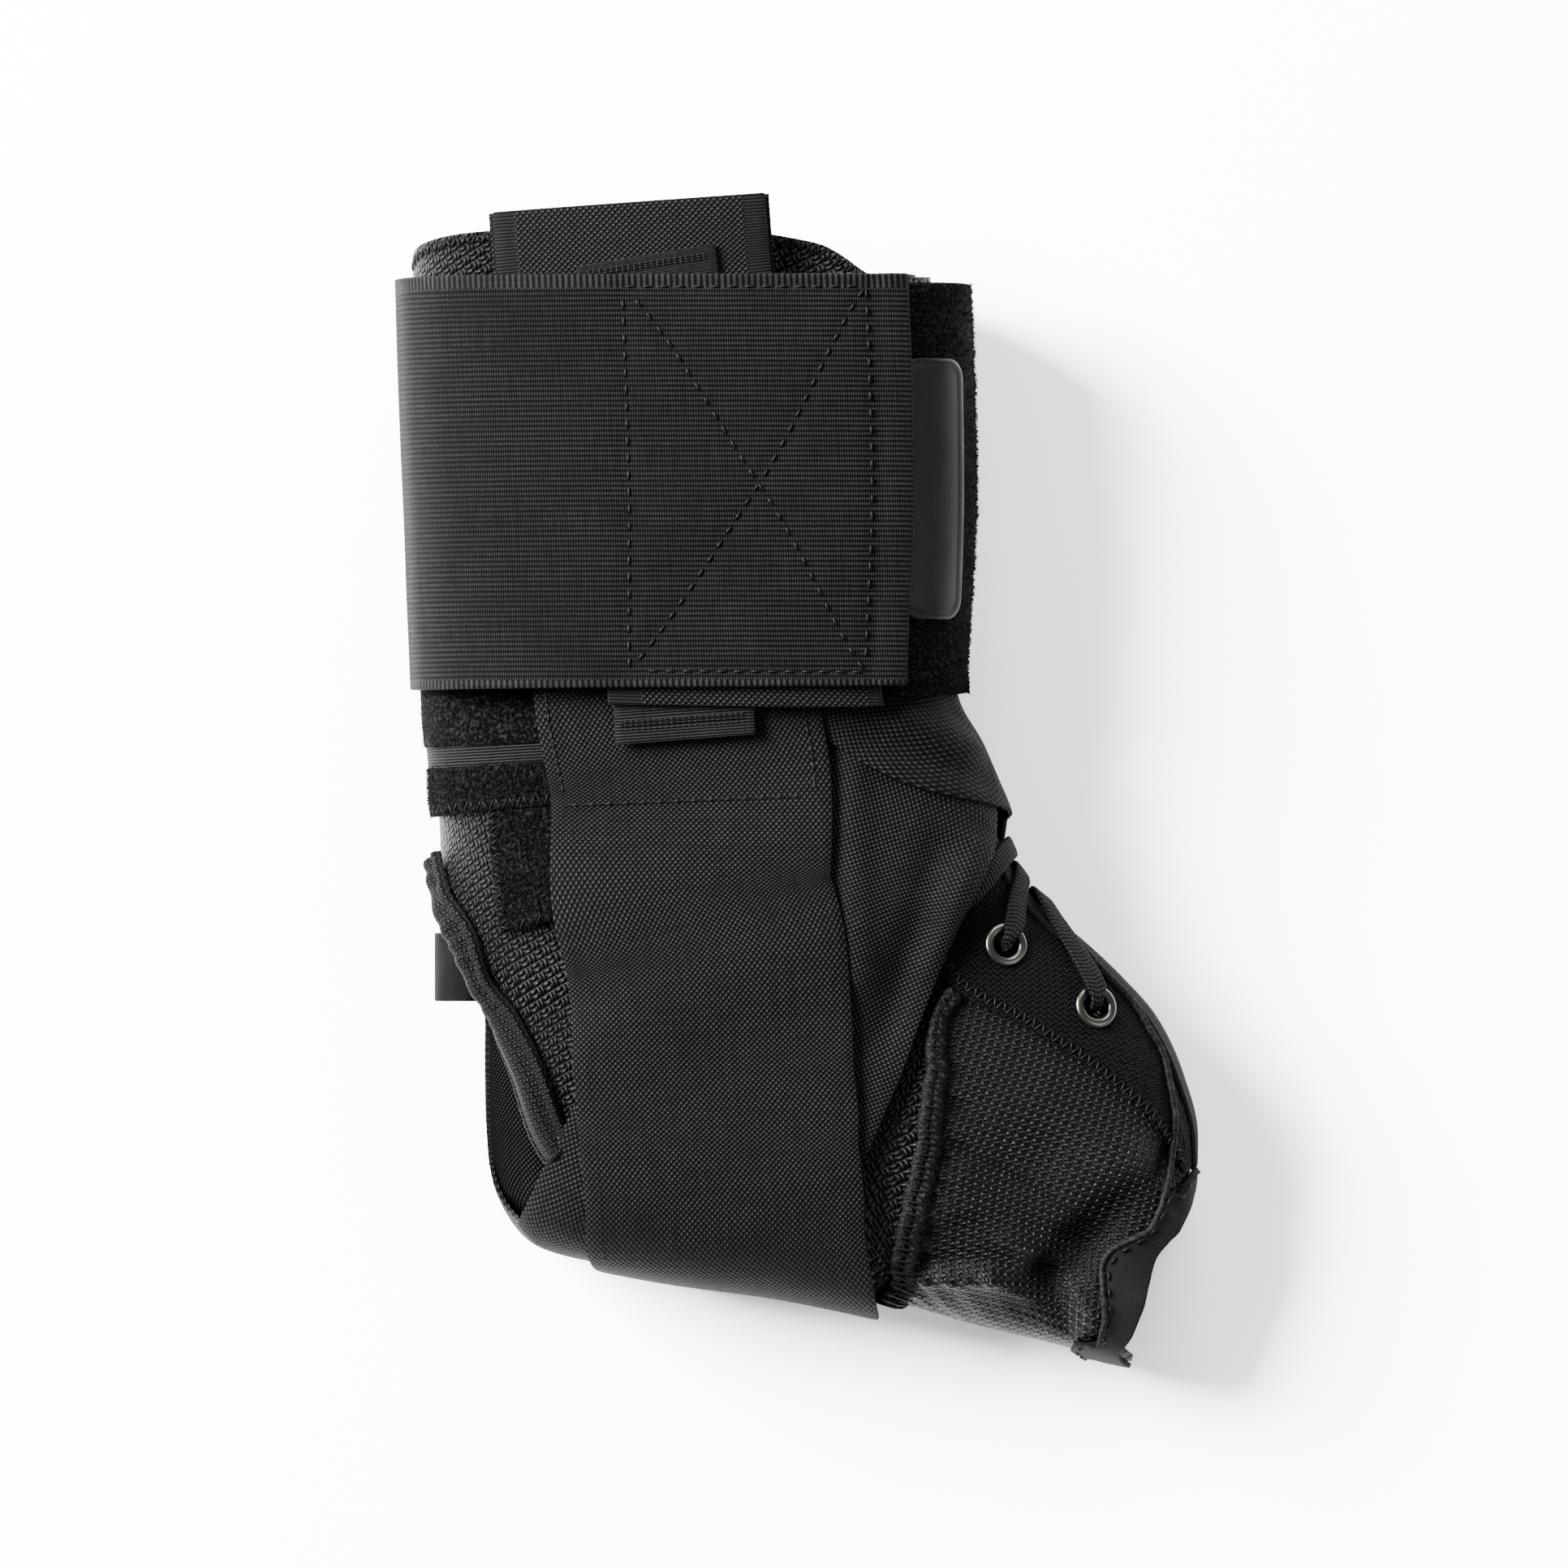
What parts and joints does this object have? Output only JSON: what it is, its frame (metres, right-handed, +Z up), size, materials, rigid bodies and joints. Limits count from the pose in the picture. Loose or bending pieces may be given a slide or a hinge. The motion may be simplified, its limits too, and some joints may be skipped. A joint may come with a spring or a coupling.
{
  "type": "ankle brace",
  "caption": "Laced fabric ankle brace with an open heel, two crossing stabilising straps and an elastic cuff strap, lying on its side.",
  "frame": {"origin": "on the floor under the middle of the brace as it lies on its outer side", "axes": "+X from the heel towards the toes, +Y from the sole towards the cuff, +Z up from the face that lies on the floor"},
  "size_m": [0.1525, 0.2224, 0.0542],
  "materials": {
    "boot_mesh": "basket-weave ballistic mesh, faint sheen",
    "vamp_mesh": "open honeycomb mesh over a dark lining",
    "stay_cloth": "fine basket weave",
    "binding_cloth": "folded fine-weave binding",
    "loop_pile": "brushed loop pile",
    "grosgrain": "ribbed grosgrain",
    "strap_webbing": "dotted nylon webbing",
    "hook_tape": "hook tape with plain selvages",
    "elastic_webbing": "ribbed knitted elastic, charcoal",
    "label_rubber": "matte moulded rubber, bare",
    "lace_cord": "flat braided lace",
    "eyelet_metal": "aged nickel"
  },
  "bodies": {
    "root": {"boot_shell": "boot_mesh", "vamp_panel": "vamp_mesh", "tongue": "boot_mesh", "near_eyelet_stay": "stay_cloth", "far_eyelet_stay": "stay_cloth", "near_edge_binding": "binding_cloth", "far_edge_binding": "binding_cloth", "toe_binding": "binding_cloth", "cuff_pile_panel": "loop_pile", "cuff_edge_tape": "grosgrain", "ankle_pile_band": "loop_pile", "ankle_pile_strip": "loop_pile", "far_strap": "strap_webbing", "near_strap": "strap_webbing", "strap_hook_tape": "hook_tape", "pull_tape": "grosgrain", "closure_strap": "loop_pile", "hook_patch": "hook_tape", "elastic_strap": "elastic_webbing", "rubber_label": "label_rubber", "near_heel_binding": "binding_cloth", "far_heel_binding": "binding_cloth", "upper_near_eyelet": "eyelet_metal", "lower_near_eyelet": "eyelet_metal", "upper_far_eyelet": "eyelet_metal", "lower_far_eyelet": "eyelet_metal", "lace": "lace_cord", "heel_loop": "binding_cloth"}
  },
  "joints": []
}
